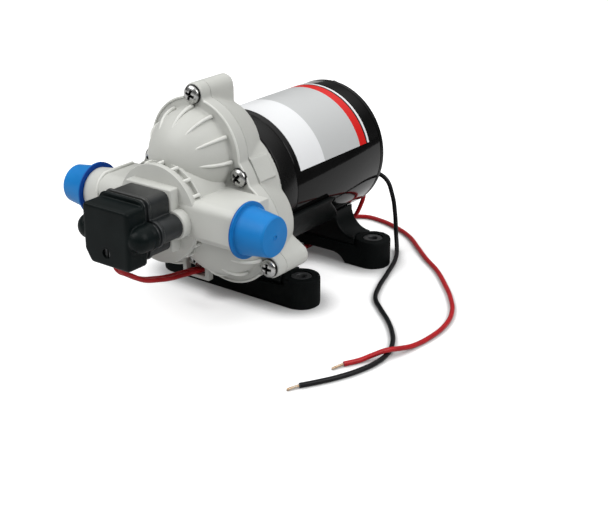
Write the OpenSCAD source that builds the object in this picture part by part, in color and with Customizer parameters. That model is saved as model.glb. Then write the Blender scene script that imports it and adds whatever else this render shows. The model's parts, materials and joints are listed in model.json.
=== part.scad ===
// Twelve volt caravan water pump: three chamber diaphragm head, pressure switch and motor.
// Millimetres. +Z up, the switch faces -Y, the motor runs along +Y, the outlet port is at +X.
// The origin is on the floor at the centre of the four foot holes.

/* [Motor] */
// Outside diameter of the motor can
motor_d = 70; // [67:0.5:73]
// Height of the pump axis above the floor
axis_h = 56.5; // [55:0.5:60]
// Distance from the foot pattern's centre to the can's front edge
can_front = 28.5; // [27:0.5:30]
// Length of the motor can
can_len = 73.4; // [72.4:0.2:76.4]
// Wall thickness of the motor can
can_wall = 2; // [1.6:0.1:2.4]
// Visible length of the black front bell
bell_len = 11.5; // [11:0.5:13]
// Thickness of the rear cap
cap_t = 4.5; // [4:0.5:6]
// Diameter of the motor shaft
shaft_d = 6; // [5:0.5:7]
// Radial clearance of the shaft in its bearings
run_fit = 0.03; // [0.01:0.01:0.08]
// Thickness of the field magnets
magnet_t = 5; // [4:0.5:6]
// Air gap between magnets and armature
air_gap = 1; // [0.8:0.1:1.5]
// Outside diameter of the shaft bearings
bearing_d = 16; // [15:0.5:17]
// Width of the shaft bearings
bearing_w = 5; // [4:0.5:5]
// Thickness of the rating label
label_t = 0.2; // [0.1:0.05:0.4]
// Height above the horizontal at which the label's lower edges sit, in degrees
label_edge = 16; // [10:1:25]

/* [Pump head] */
// Distance of each chamber centre from the pump axis
lobe_c = 22.6; // [22.5:0.1:23]
// Width of the flange ledge around each dome
ledge = 5.1; // [4.8:0.1:5.8]
// Outside radius of the three domes
dome_r = 22.2; // [21.8:0.1:22.3]
// Wall thickness of the domes
dome_wall = 2.3; // [2:0.1:2.5]
// Width of the flange outside the valley screws
valley_rim = 4.3; // [4:0.1:5]
// Length of the drive housing
drive_len = 17; // [17:0.5:19]
// Thickness of the head's clamping flange
flange_t = 6.5; // [6:0.5:7.5]
// Distance of the tip screws outside the domes
tip_off = 6.4; // [6:0.1:7]
// Distance of the valley screws outside the domes
valley_off = 5.7; // [5.6:0.1:6.2]
// How much narrower the drive housing's lobes are at the motor
taper = 5.8; // [5:0.1:6.2]
// Radius of the tip screw bosses
boss_r = 5.4; // [5:0.1:6]
// Radius of the head screws' pan heads
screw_head_r = 4.6; // [4.2:0.1:4.8]
// Height of the ribs where they leave the dome base
rib_h = 1.3; // [0.9:0.1:1.6]
// Thickness of the ribs
rib_t = 1.6; // [1.2:0.1:2]
// Outside radius of the central drum
drum_r = 24; // [23.5:0.25:24.5]
// Length of the central drum behind its groove
drum_len = 22; // [21.5:0.25:22.5]
// Width of the groove around the drum
groove_w = 2.5; // [2:0.1:2.8]
// Depth of the groove around the drum
groove_d = 1.8; // [1.5:0.1:2.2]
// Thickness of the disc in front of the groove
disc_t = 3.6; // [3.25:0.1:4]
// Thickness of the pad behind the pressure switch
pad_t = 5.4; // [5:0.2:6]

/* [Ports] */
// Outside diameter of the half inch pipe thread on both ports
thread_d = 20.955; // [20.8:0.005:21.1]
// Bore of both ports
port_bore = 14; // [12:0.5:14.5]
// Radius of the round collar behind the thread
collar_r = 12.2; // [12:0.1:12.6]
// Distance of the collar's end from the axis
collar_x = 46.6; // [46:0.1:47]
// Length of the thread
thread_len = 6; // [5:0.25:6.5]
// Half height of the square port blocks
block_h = 10.5; // [10:0.25:11]
// Distance of the blocks' outer ends from the axis
block_x = 38; // [37:0.25:39]
// Radius of the transit caps' flange
cap_flange_r = 13.4; // [13:0.1:14]
// Radius of the transit caps at the root
cap_root_r = 11.55; // [11.5:0.05:11.8]
// Radius of the transit caps at the end
cap_end_r = 9.5; // [9.2:0.1:10]
// Length of the transit caps
cap_len = 16; // [15:0.25:18]

/* [Pressure switch] */
// Half width of the switch
sw_w = 13.1; // [12.6:0.1:13.6]
// Height of the switch above the axis
sw_up = 15; // [14.5:0.25:16]
// Depth of the switch below the axis
sw_down = 13.7; // [13.5:0.1:14.5]
// Distance of the side lugs from the middle
lug_x = 15.2; // [15:0.1:16]
// Height of the side lugs above the axis
lug_z = -0.7; // [-1:0.1:0]
// Radius of the side lugs
lug_r = 6.1; // [5.6:0.1:6.2]
// Length of the switch body
body_len = 14; // [13.5:0.25:15]
// Width of the step between body and cover
seam_w = 2; // [1.5:0.25:2.5]
// Length of the switch cover
cover_len = 12.4; // [11.4:0.2:13]
// Drop of the switch cover below the body
cover_drop = 1.8; // [1.4:0.1:2]
// Width that the cover has over the body on each side
cover_over = 0.9; // [0.6:0.1:1.1]
// Width cut off the cover's lower left corner
corner_cut = 4.5; // [3.5:0.1:5]
// Drop of the plunger and adjuster below the axis
adj_drop = 8.9; // [8.6:0.1:9]

/* [Feet] */
// Spacing of the foot holes across the pump
foot_x = 79; // [77:0.5:82]
// Spacing of the foot holes along the pump
foot_y = 64; // [62:0.5:66]
// Radius of the feet
foot_r = 9.5; // [9:0.25:10]
// Height of the feet
foot_h = 15; // [14:0.5:16]
// Height of the rails between the feet
rail_h = 11; // [10:0.5:11.5]
// Lift of the rear rail above the floor
rail_lift = 4.5; // [4:0.25:5]
// Radius of the screw holes through the feet
foot_hole = 2.4; // [2.1:0.05:2.6]
// Thickness of the saddle under the motor
saddle_t = 3; // [2.5:0.25:3.5]
// Half width of the saddle's neck
neck_w = 20.5; // [19.5:0.25:21.5]

/* [Leads] */
// Diameter of the insulated leads
lead_d = 2.4; // [2:0.1:2.6]
// Diameter of the bare strands
strand_d = 1.2; // [1:0.1:1.6]

/* [Motion] */
// Tilt of the wobble plate in degrees
tilt = 3; // [2:0.25:3.5]
// Travel of the switch plunger
plunge = 1; // [0.5:0.1:1.2]

/* [Hidden] */
$fn = 64;
mr = motor_d / 2;
sr = shaft_d / 2;
// The gap left between curved faces that are pressed or glued together
seat = 0.05;
// Stations along Y, from the can forward to the switch cover
y_can = -can_front;
y_back = y_can + can_len;
y_rear = y_back + cap_t;
y_bell = y_can - bell_len;
y_part = y_bell - drive_len;
y_flange = y_part - flange_t;
y_ring = y_flange - drum_len;
y_drum = y_ring - groove_w;
y_disc = y_drum - disc_t;
y_pad = y_disc - pad_t;
y_body = y_pad - body_len;
y_seam = y_body - seam_w;
y_cover = y_seam - cover_len;
port_y = y_ring + 3;
// Clamped sheet, valve plate and chambers
sheet_t = 2;
lobe_r = dome_r + ledge;
tip_screw = lobe_c + dome_r + tip_off;
valley_screw = (lobe_c + sqrt(4 * pow(dome_r + valley_off, 2) - 3 * pow(lobe_c, 2))) / 2;
valley_r = valley_screw + valley_rim;
rim_r = lobe_r - 3;
rim_t = 2.5;
plate_r = dome_r - dome_wall - 0.4;
y_sheet = y_part - sheet_t;
y_rim = y_sheet - rim_t;
chamber_r = 12.3;
y_floor = y_sheet - 5.6;
y_plate = y_floor - 3.4;
gasket_t = 0.8;
tube_r = 13;
tube_in = 10.5;
// Wobble drive, measured forward from the nutation point
y_nut = y_part + 7.5;
race_w = 6;
cam_r = 6;
hub_r = 16;
pad_r = 10.5;
face_r = 9;
slack = 1.5;
// Motor inside
core_r = mr - can_wall - seat - magnet_t - air_gap;
core_y0 = y_can + 10;
core_y1 = core_y0 + 42;
comm_r = 9;
comm_y0 = core_y1 + 8;
comm_y1 = comm_y0 + 7.5;
card_y = comm_y0 + 6;
bush_y0 = y_back - 3;
// Lead exits in the rear cap, beside the axis
exit_a = [mr * 24 / 35, -mr * 13.5 / 35];
exit_b = [mr * 11 / 35, -mr * 20.5 / 35];
exit_y = y_rear + 1.8;
lead_fit = 0.12;
// Switch
adj_z = axis_h - adj_drop;
plunger_r = 2.2;
spring_r = 2.6;
well_r = 5.4;
spring_y0 = y_pad - 4.2 - plunge - 0.1;
spring_y1 = spring_y0 - 7.8;
entry_y = y_seam - 6;
entry_z = axis_h - sw_down - cover_drop + 2;
// Feet
fx = foot_x / 2;
fy = foot_y / 2;
web_w = 16;
flare_r = 12;
saddle_r = mr + seat + saddle_t;
eyelet_r = foot_hole + 1.2;
eyelet_rim = 5.2;
eyelet_seat = foot_h - 1.6;

// Draws forward from the plane y = y0: local x and y become world x and z about the pump axis
module ahead(y0) { translate([0, y0, axis_h]) rotate([90, 0, 0]) children(); }

// A straight-sided slab of a flat outline between two stations, y1 in front of y0
module slab(y0, y1) { ahead(y0) linear_extrude(y0 - y1) children(); }

// A ring about the pump axis between two stations
module ring(y0, y1, ro, ri) {
    slab(y0, y1) difference() { circle(ro); if (ri > 0) circle(ri); }
}

// A round rod along Y at a given place beside the axis
module rod(y0, y1, r, x, z) { slab(y0, y1) translate([x, z]) circle(r); }

// Turns children to the three lobes
module lobes() { for (a = [90, 210, 330]) rotate([0, 0, a]) children(); }

module trefoil(r, c) {
    union() {
        lobes() translate([lobe_c, 0]) circle(r);
        circle(c);
    }
}

module head_outline() {
    union() {
        trefoil(lobe_r, valley_r);
        lobes() translate([tip_screw, 0]) circle(boss_r);
        lobes() translate([tip_screw - 6, -boss_r]) square([6, 2 * boss_r]);
    }
}

module screw_places() {
    lobes() translate([tip_screw, 0]) children();
    lobes() rotate([0, 0, 60]) translate([valley_screw, 0]) children();
}

// A cord: a round tube carried along a smoothed list of points
function unit(v) = v / norm(v);
function heading(p, i) = unit(p[min(i + 1, len(p) - 1)] - p[max(i - 1, 0)]);
function carry(p, i, u) = i == len(p) ? [] :
    let (t = heading(p, i), w = unit(u - t * (u * t))) concat([w], carry(p, i + 1, w));
function bend(a, b, c, d, t) = 0.5 * (2 * b + (c - a) * t + (2 * a - 5 * b + 4 * c - d) * t * t
    + (3 * b - a - 3 * c + d) * t * t * t);
function smooth(p, n) = let (m = len(p) - 1) concat(
    [for (i = [0 : m - 1]) for (k = [0 : n - 1])
        bend(p[max(i - 1, 0)], p[i], p[i + 1], p[min(i + 2, m)], k / n)], [p[m]]);
module cord(p, r, side) {
    n = 8;
    c = carry(p, 0, side);
    m = len(p);
    pts = [for (i = [0 : m - 1]) let (a = c[i], b = cross(heading(p, i), a))
        for (k = [0 : n - 1]) p[i] + r * (cos(k * 45) * a + sin(k * 45) * b)];
    walls = [for (i = [0 : m - 2]) for (k = [0 : n - 1]) let (j = (k + 1) % n)
        each [[i * n + k, (i + 1) * n + k, (i + 1) * n + j], [i * n + k, (i + 1) * n + j, i * n + j]]];
    polyhedron(concat(pts, [p[0], p[m - 1]]), concat(walls,
        [for (k = [0 : n - 1]) [m * n, k, (k + 1) % n]],
        [for (k = [0 : n - 1]) [m * n + 1, (m - 1) * n + (k + 1) % n, (m - 1) * n + k]]));
}

// Black lead: from the rear cap down to the floor and forward past the right side
black_path = [[exit_a[0], y_back + 1, axis_h + exit_a[1]], [exit_a[0], exit_y, axis_h + exit_a[1]],
    [exit_a[0] + 2, exit_y + 3, axis_h + exit_a[1] - 0.6],
    [exit_a[0] + 7, exit_y + 5.4, axis_h + exit_a[1] - 3.7],
    [exit_a[0] + 11, exit_y + 6, 31], [exit_a[0] + 13, exit_y + 6.4, 20], [exit_a[0] + 14.5, exit_y + 5.6, 9],
    [exit_a[0] + 17.5, exit_y + 2, 2.4], [fx + 8.5, 42, 1.2], [fx + 16, 22, 1.2],
    [61.5, 5, 1.2], [68, -8, 1.2], [77, -17, 1.2], [87, -26, 1.2], [96, -36, 1.2], [102, -45, 1.2],
    [106, -55, 1.2], [107, -65, 1.2], [105, -77, 1.2], [101, -88, 1.2], [96, -97.5, 1.2], [92, -104, 1.2]];
// Red supply lead: from under the rear rail, round behind the motor and forward on the right
red_path = [[-1.4, 43, 1.4], [-4, 52, 1.2], [-9, 64, 1.2], [-9, 77, 1.2], [-2, 85.5, 1.2], [9, 86, 1.2],
    [22, 82, 1.2], [36, 74.5, 1.2], [49, 63, 1.2], [61, 52, 1.2], [74, 41.5, 1.2], [87, 28, 1.2],
    [98, 15, 1.2], [107, 1, 1.2], [112, -14, 1.2], [113, -28, 1.2], [111.5, -42, 1.4], [109.5, -50, 2.6],
    [106.5, -57.5, 3.7], [103, -63.5, 2.6], [100, -68.5, 1.4], [96, -76, 1.2]];
// The two held leads run under the saddle, through the guide and up into the switch
function held(x) = [[x, 20, 3.4], [x, 0, 8.5], [x, -20, rail_h + 1.6], [x, -fy - 12, rail_h + 2.6],
    [x, y_part, axis_h - valley_r - 3.6], [x, y_flange - 1.5, axis_h - valley_r - 1.9],
    [x, y_flange - 12, axis_h - valley_r - 0.4], [x, y_flange - 22, axis_h - 34.4],
    [x, y_disc - 2, axis_h - 32.4], [x, y_seam + 9, axis_h - 28.9], [x, y_seam + 1, axis_h - 23.9],
    [x, entry_y + 1.6, entry_z - 6.6], [x, entry_y, entry_z - 3.6], [x, entry_y, entry_z]];
motor_path = concat([[exit_b[0], y_back + 1, axis_h + exit_b[1]], [exit_b[0], exit_y, axis_h + exit_b[1]],
    [exit_b[0] + 2.5, exit_y + 3, axis_h + exit_b[1] - 1], [exit_b[0] + 6, exit_y + 4.4, 30],
    [exit_b[0] + 5, exit_y + 3.4, 21], [10, exit_y - 1.6, 9], [4, 43, 3], [1.4, 33, 2.6]], held(1.4));
supply_path = concat([[-1.4, 43, 1.4], [-1.4, 33, 1.8]], held(-1.4));
black_tip = [[91.8, -104.4, 1.2], [90.5, -107, 1], [89.4, -109.5, 0.7]];
red_tip = [[95.8, -76.4, 1.2], [94.8, -79, 1], [93.8, -82, 0.7]];

// Feet and saddle

module foot_places(y) { for (s = [-1, 1]) translate([s * fx, y, 0]) children(); }

module foot_rail(y, lift) {
    difference() {
        union() {
            translate([-fx, y - foot_r, lift]) cube([foot_x, 2 * foot_r, rail_h - lift]);
            foot_places(y) cylinder(r = foot_r, h = foot_h);
        }
        foot_places(y) {
            translate([0, 0, -1]) cylinder(r = eyelet_r, h = foot_h + 2);
            translate([0, 0, eyelet_seat]) cylinder(r = eyelet_rim + 0.3, h = 4);
        }
        for (s = [-1, 1]) translate([s * 14, y, lift - 1]) cylinder(r = 1.5, h = rail_h + 2);
    }
}

module front_rail() { color("#15181a") foot_rail(-fy, 0); }

module rear_rail() { color("#15181a") foot_rail(fy, rail_lift); }

module foot_eyelets() {
    color("#585c60") for (y = [-fy, fy]) foot_places(y) difference() {
        union() {
            cylinder(r = eyelet_r, h = eyelet_seat + 1);
            translate([0, 0, eyelet_seat]) cylinder(r = eyelet_rim, h = 1.2);
        }
        translate([0, 0, -1]) cylinder(r = foot_hole, h = foot_h + 2);
    }
}

// One transverse web of the saddle: a neck under the motor that flares out to the feet
module web(y) {
    difference() {
        translate([0, y + web_w / 2, 0]) rotate([90, 0, 0]) linear_extrude(web_w) difference() {
            translate([-(neck_w + flare_r), rail_h])
                square([2 * (neck_w + flare_r), axis_h - mr - rail_h + 8]);
            for (s = [-1, 1]) translate([s * (neck_w + flare_r), foot_h + flare_r]) {
                circle(flare_r);
                translate([-flare_r, 0]) square([2 * flare_r, 30]);
            }
            translate([0, axis_h]) circle(mr + seat);
        }
        foot_places(y) translate([0, 0, rail_h - 1]) cylinder(r = foot_r + seat, h = foot_h);
    }
}

// The cradle and both webs, with a tunnel for the leads and holes for the screws
module saddle() {
    color("#1a1d1f") difference() {
        union() {
            difference() {
                slab(fy + web_w / 2, -fy - web_w / 2) difference() {
                    circle(saddle_r);
                    circle(mr + seat);
                    translate([-saddle_r - 10, -saddle_r * sin(12)])
                        square([2 * saddle_r + 20, 2 * saddle_r]);
                }
                translate([-2 * mr, 2, axis_h - 12]) rotate([-38, 0, 0]) cube([4 * mr, 80, 60]);
            }
            web(-fy);
            web(fy);
        }
        translate([-4.5, -fy - web_w, rail_h - 1]) cube([9, fy + web_w, 5]);
        for (y = [-fy, fy]) for (s = [-1, 1]) translate([s * 14, y, rail_h - 1]) cylinder(r = 1.2, h = 8);
    }
}

module saddle_screws() {
    color("#8d9195") for (y = [-fy, fy]) for (s = [-1, 1]) translate([s * 14, y, 0]) {
        z = y < 0 ? 0.4 : rail_lift;
        translate([0, 0, z]) cylinder(r = 1.2, h = rail_h + 7 - z);
        translate([0, 0, z - (y < 0 ? 0 : 1.6)]) cylinder(r = y < 0 ? 1.5 : 3, h = 1.6);
    }
}

// Motor

module motor_can() { color("#1c1f20") ring(y_back, y_can, mr, mr - can_wall); }

module front_bell() {
    color("#16191a") difference() {
        union() {
            ring(y_can, y_bell, mr, 0);
            ring(y_can + 3.5, y_can, mr - can_wall - seat, 0);
        }
        ring(y_can + 4, y_bell + 4, mr - 4.5, bearing_d / 2 + 4);
        ring(y_can + 4, y_bell + 3 + bearing_w + 1, mr - 4.5, 0);
        ring(y_can + 4, y_bell + 3, bearing_d / 2, 0);
        ring(y_can, y_bell - 1, sr + 1.5, 0);
        slab(y_can + 4, y_bell - 1) for (s = [-1, 1]) translate([s * 17, 0]) circle(1.5);
        slab(y_can + 4, y_bell + 1) for (s = [-1, 1]) translate([0, s * (mr - 4)]) circle(1.4);
    }
}

module rear_cap() {
    color("#16191a") difference() {
        union() {
            ring(y_rear, y_back, mr, 0);
            ring(y_back, y_back - 3, mr - can_wall - seat, mr - can_wall - 4);
            ring(y_back, bush_y0, bearing_d / 2 + 2.5, 0);
        }
        ring(bush_y0 + bearing_w, bush_y0 - 1, bearing_d / 2, 0);
        slab(y_rear + 1, y_back - 4) for (s = [-1, 1]) translate([0, s * (mr - 4)]) circle(1.7);
        for (p = [exit_a, exit_b]) rod(y_rear + 1, y_back - 1, 2.6, p[0], p[1]);
    }
}

module motor_bolts() {
    color("#a9adb0") for (s = [-1, 1]) {
        rod(y_rear, y_bell + 1, 1.4, 0, s * (mr - 4));
        rod(y_rear + 2, y_rear, 3, 0, s * (mr - 4));
    }
}

module magnets() {
    color("#3a3c40") slab(core_y1 + 3, core_y0 - 3) for (s = [0, 180]) rotate([0, 0, s]) difference() {
        circle(mr - can_wall - seat);
        circle(mr - can_wall - seat - magnet_t);
        translate([-50, -50]) square([62, 100]);
    }
}

module shaft_bearing(y) { ring(y + bearing_w, y, bearing_d / 2, sr + run_fit); }

module front_bearing() { color("#b5b8ba") shaft_bearing(y_bell + 3); }

module rear_bearing() { color("#b5b8ba") shaft_bearing(bush_y0); }

module brush_card() {
    color("#7a5a34") difference() {
        union() {
            ring(card_y + 1.6, card_y, mr - can_wall - 0.3, comm_r + 2.6);
            ring(y_back - 3, card_y, mr - can_wall - 0.3, mr - can_wall - 3.5);
            for (s = [-1, 1]) translate([s > 0 ? 11 : -21, card_y - 6, axis_h - 4]) cube([10, 6, 8]);
        }
        for (s = [-1, 1]) translate([s > 0 ? 10 : -20.2, card_y - 5, axis_h - 2.55]) cube([10.2, 4.05, 5.1]);
        slab(y_back + 1, card_y - 1) for (s = [-1, 1]) translate([0, s * (mr - 4)]) circle(2);
    }
}

module brushes() {
    color("#2c2c2e") for (s = [-1, 1])
        translate([s > 0 ? comm_r + 0.05 : -17, card_y - 4.95, axis_h - 2.5]) cube([8 - 0.05, 3.95, 5]);
}

module brush_springs() {
    color("#c0a060") for (s = [-1, 1]) translate([s * 17, card_y - 3, axis_h]) rotate([0, s * 90, 0]) {
        for (k = [0 : 2]) translate([0, 0, 0.45 + k * 1.15])
            rotate_extrude() translate([1.35, 0]) circle(0.45);
        difference() { cylinder(r = 1.4, h = 3.2); translate([0, 0, -1]) cylinder(r = 1.15, h = 6); }
    }
}

module rating_label() {
    color("#dfe1e3") slab(35, y_can + 3.8) difference() {
        circle(mr + label_t);
        circle(mr);
        translate([-60, -60]) square([120, 60 + mr * sin(label_edge)]);
    }
}

module motor_shaft() { color("#c3c6c8") ring(bush_y0 + bearing_w - 0.4, y_nut - 4, sr, 0); }

module armature_core() {
    color("#55585c") slab(core_y1, core_y0) difference() {
        circle(core_r);
        circle(sr);
        for (a = [0 : 45 : 315]) rotate([0, 0, a]) {
            translate([core_r - 3, -0.9]) square([4, 1.8]);
            translate([core_r - 7, 0]) circle(3.6);
        }
    }
}

module armature_windings() {
    color("#9a5a2a") {
        slab(core_y1, core_y0) for (a = [0 : 45 : 315])
            rotate([0, 0, a]) translate([core_r - 7, 0]) circle(3.4);
        ring(core_y1 + 7, core_y1, core_r - 3, 8);
        ring(core_y0, core_y0 - 6, core_r - 3, 8);
    }
}

module commutator() {
    color("#b87333") {
        ring(comm_y1, core_y1, comm_r - 1.5, sr);
        difference() {
            ring(comm_y1, comm_y0, comm_r, comm_r - 2);
            slab(comm_y1 + 1, comm_y0 - 1) for (a = [0 : 45 : 315]) rotate([0, 0, a + 22.5])
                translate([comm_r - 0.8, -0.3]) square([2, 0.6]);
        }
    }
}

// Wobble drive: children are drawn about the nutation point, tilted, local +Z pointing forward
module nutating() { ahead(y_nut) rotate([-tilt, 0, 0]) children(); }

module cam_bush() {
    color("#d6d2c4") difference() {
        nutating() translate([0, 0, -race_w / 2 - 1]) cylinder(r = cam_r, h = race_w + 2);
        ring(y_nut + 10, y_nut - 10, sr, 0);
    }
}

module cam_race_inner() {
    color("#b5b8ba") nutating() translate([0, 0, -race_w / 2]) difference() {
        cylinder(r = cam_r + 1.9, h = race_w);
        translate([0, 0, -1]) cylinder(r = cam_r, h = race_w + 2);
    }
}

module cam_race_outer() {
    color("#c4c7c9") nutating() translate([0, 0, -race_w / 2]) difference() {
        cylinder(r = hub_r - 4, h = race_w);
        translate([0, 0, -1]) cylinder(r = cam_r + 1.9 + run_fit, h = race_w + 2);
    }
}

module wobble_plate() {
    color("#8c9094") nutating() difference() {
        union() {
            translate([0, 0, -race_w / 2]) cylinder(r = hub_r, h = race_w + 0.5);
            lobes() translate([hub_r - 4, -5, -0.5]) cube([lobe_c - hub_r + 4, 10, 4]);
            lobes() translate([lobe_c, 0, -0.5]) cylinder(r = face_r, h = 5.5);
        }
        translate([0, 0, -race_w]) cylinder(r = hub_r - 4, h = 2 * race_w);
        lobes() translate([lobe_c, 0, -2]) cylinder(r = 1.6, h = 12);
    }
}

module piston_disc(z0, z1, r) {
    nutating() lobes() translate([lobe_c, 0, z0]) difference() {
        cylinder(r = r, h = z1 - z0);
        translate([0, 0, -1]) cylinder(r = 1.6, h = z1 - z0 + 2);
    }
}

module piston_backs() { color("#d8d4c8") piston_disc(5, 7.75, face_r); }

module piston_pads() { color("#222426") piston_disc(7.75, 9.25, pad_r); }

module piston_faces() { color("#d8d4c8") piston_disc(9.25, 11.75, face_r); }

module piston_screws() {
    color("#a9adb0") nutating() lobes() translate([lobe_c, 0, 0]) {
        translate([0, 0, -0.5]) cylinder(r = 1.6, h = 12.25);
        translate([0, 0, 11.75]) cylinder(r = 3, h = 1.4);
    }
}

// Head

// Three lobes that widen from the motor to the head, about a middle cone
module flared(y0, y1, r0, r1, c0, c1) {
    ahead(y0) union() {
        lobes() translate([lobe_c, 0, 0]) cylinder(r1 = r0, r2 = r1, h = y0 - y1);
        cylinder(r1 = c0, r2 = c1, h = y0 - y1);
    }
}

module drive_housing() {
    cave = y_bell - 3.5 - y_part;
    color("#b2b3ac") difference() {
        union() {
            flared(y_bell, y_part, lobe_r - taper, lobe_r, valley_r - 1.2, valley_r);
            slab(y_bell, y_part) lobes() {
                translate([tip_screw, 0]) circle(boss_r);
                translate([lobe_c, -boss_r]) square([tip_screw - lobe_c, 2 * boss_r]);
            }
            slab(y_part + 13, y_part) lobes() rotate([0, 0, 60]) translate([valley_screw - 1, -6])
                square([valley_rim + 1.7, 12]);
        }
        for (k = [0 : 2]) slab(y_bell - 3.5 - k * cave / 3, y_part - 1)
            trefoil(rim_r - taper * (1 - k / 3), hub_r + 2 + k / 3);
        ring(y_bell + 1, y_part, sr + 2.5, 0);
        slab(y_bell - 4, y_part - 1) screw_places() circle(1.3);
        slab(y_bell + 1, y_bell - 4) for (s = [-1, 1]) translate([s * 17, 0]) circle(1.7);
    }
}

module drive_screws() {
    color("#8d9195") for (s = [-1, 1]) {
        rod(y_bell + 3.9, y_bell - 3.5, 1.5, s * 17, 0);
        rod(y_bell - 3.5, y_bell - 5.3, 3, s * 17, 0);
    }
}

module diaphragm() {
    color("#222426") slab(y_part, y_sheet) difference() {
        trefoil(rim_r - 0.2, 10);
        lobes() translate([lobe_c, 0]) circle(pad_r + slack);
    }
}

module valve_plate() {
    color("#cfd0c8") difference() {
        union() {
            slab(y_sheet, y_rim) trefoil(rim_r - 0.2, 10);
            slab(y_rim, y_plate) trefoil(plate_r, tube_r + 1.5);
        }
        slab(y_sheet + 1, y_floor) lobes() translate([lobe_c, 0]) circle(chamber_r);
        slab(y_floor + 1, y_plate - 1) {
            lobes() translate([lobe_c + 7.5, 0]) {
                circle(0.9);
                for (a = [45 : 90 : 315]) rotate([0, 0, a]) translate([2.7, 0]) circle(0.9);
            }
            circle(1.5);
            lobes() translate([8.2, 0]) circle(1.2);
        }
        slab(y_sheet + 1, y_floor) lobes() translate([7, -1.2]) square([5, 2.4]);
        ring(y_sheet + 1, y_floor, 2.4, 0);
    }
}

module inlet_valves() {
    color("#222426") union() {
        slab(y_floor + 0.9, y_floor) lobes() translate([lobe_c + 7.5, 0]) circle(4.3);
        slab(y_floor, y_plate) lobes() translate([lobe_c + 7.5, 0]) circle(0.9);
        slab(y_plate, y_plate - 1) lobes() translate([lobe_c + 7.5, 0]) circle(1.3);
    }
}

module outlet_valve() {
    color("#222426") union() {
        ring(y_plate, y_plate - 1.2, 9.9, 0);
        ring(y_floor, y_plate, 1.5, 0);
        ring(y_floor + 1, y_floor, 2.2, 0);
    }
}

module plate_gasket() { color("#222426") ring(y_plate, y_plate - gasket_t, tube_r - 0.1, tube_in + 0.3); }

// Ribs that run up each dome from its base and sink into it about half way to the crown: first and last
// give their spread about the lobe's outward direction
module dome_ribs(lobe, first, last) {
    rotate([0, 0, lobe]) translate([lobe_c, 0, 0])
    for (a = [first : 30 : last]) rotate([0, 0, a]) intersection() {
        translate([0, -rib_t / 2, -1.5]) cube([dome_r + 3, rib_t, dome_r]);
        translate([0, 0, -2]) sphere(r = dome_r + rib_h);
    }
}

// One port on the +X side: square block, top lip, round collar and thread
module port() {
    translate([0, port_y, axis_h]) {
        translate([12, -8, -block_h]) cube([block_x - 12, 19.7, 2 * block_h]);
        translate([block_x - 2.4, -7.7, block_h - 1]) cube([2.4, 19.7, 2]);
        rotate([0, 90, 0]) translate([0, 0, block_x - 4]) rotate_extrude() polygon([[0, 0], [collar_r, 0],
            [collar_r, collar_x - block_x + 4], [thread_d / 2, collar_x - block_x + 4],
            [thread_d / 2, collar_x - block_x + 5.4],
            [thread_d / 2 - 0.85, collar_x - block_x + 4 + thread_len],
            [0, collar_x - block_x + 4 + thread_len]]);
    }
}

// The thin loop under the flange that holds the two red leads
module wire_guide() {
    difference() {
        translate([-8.5, y_flange - 2.8, axis_h - valley_r - 5.7]) cube([17, 3.8, 11.6]);
        translate([-5.7, y_flange - 4, axis_h - valley_r - 3.7]) cube([11.4, 8, 20]);
    }
}

// The three domes with their ribs, set a little into the flange
module domes() {
    ahead(y_flange) difference() {
        union() {
            lobes() translate([lobe_c, 0, 0]) sphere(r = dome_r);
            dome_ribs(90, -90, 90);
            dome_ribs(210, 0, 60);
            dome_ribs(330, -60, 0);
        }
        translate([-80, -80, -61]) cube([160, 160, 60]);
    }
}

// The drum in the middle, with a groove round it that small ribs bridge, and the pad for the switch
module drum() {
    difference() {
        ring(y_flange + 1, y_disc, drum_r, 0);
        ring(y_ring, y_drum, drum_r + 5, drum_r - groove_d);
    }
    slab(y_ring + 1, y_drum - 1) for (a = [30 : 20 : 150]) for (t = [0, 180]) rotate([0, 0, a + t])
        translate([drum_r - 3, -0.7]) square([3.5, 1.4]);
    slab(y_disc + 1, y_pad) sw_outline(0.9);
}

module front_head() {
    color("#b8b9b2") difference() {
        union() {
            slab(y_part, y_flange) head_outline();
            domes();
            drum();
            port();
            mirror([1, 0, 0]) port();
            wire_guide();
        }
        slab(y_part + 1, y_rim) trefoil(rim_r, 12);
        difference() {
            union() {
                slab(y_rim + 1, y_plate - gasket_t) trefoil(plate_r + 0.3, tube_r + 2);
                ahead(y_flange) lobes() translate([lobe_c, 0, 0]) sphere(r = dome_r - dome_wall);
            }
            ring(y_plate - gasket_t, y_pad, tube_r, 0);
            translate([0, port_y, axis_h]) rotate([0, 90, 0]) cylinder(r = port_bore / 2 + 2, h = 40);
        }
        ring(y_plate - gasket_t + 5, y_drum + 0.5, tube_in, 0);
        translate([8, port_y, axis_h]) rotate([0, 90, 0]) cylinder(r = port_bore / 2, h = 60);
        translate([-19, port_y, axis_h]) rotate([0, -90, 0]) cylinder(r = port_bore / 2, h = 60);
        slab(y_part + 1, y_flange - 1) screw_places() circle(1.9);
        rod(y_drum + 2, y_pad - 1, 1, 0, -adj_drop);
        rod(y_pad + 1, y_pad - 1, well_r, 0, -adj_drop);
        slab(y_pad + 5, y_pad - 1) for (s = [-1, 1]) translate([s * lug_x, lug_z]) circle(1.3);
    }
}

module head_screws() {
    color("#b9bcbe") difference() {
        union() {
            slab(y_bell - 5, y_flange - 0.5) screw_places() circle(1.3);
            ahead(y_flange) screw_places() intersection() {
                cylinder(r = screw_head_r, h = 2.4);
                translate([0, 0, -5.2]) sphere(r = 7.6);
            }
        }
        ahead(y_flange) screw_places() for (a = [20, 110]) rotate([0, 0, a])
            translate([-2.4, -0.5, 1.1]) cube([4.8, 1, 3]);
    }
}

// Pressure switch

module sw_box(d) { translate([-sw_w - d, -sw_down - d]) square([2 * (sw_w + d), sw_up + sw_down + 2 * d]); }

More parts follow.
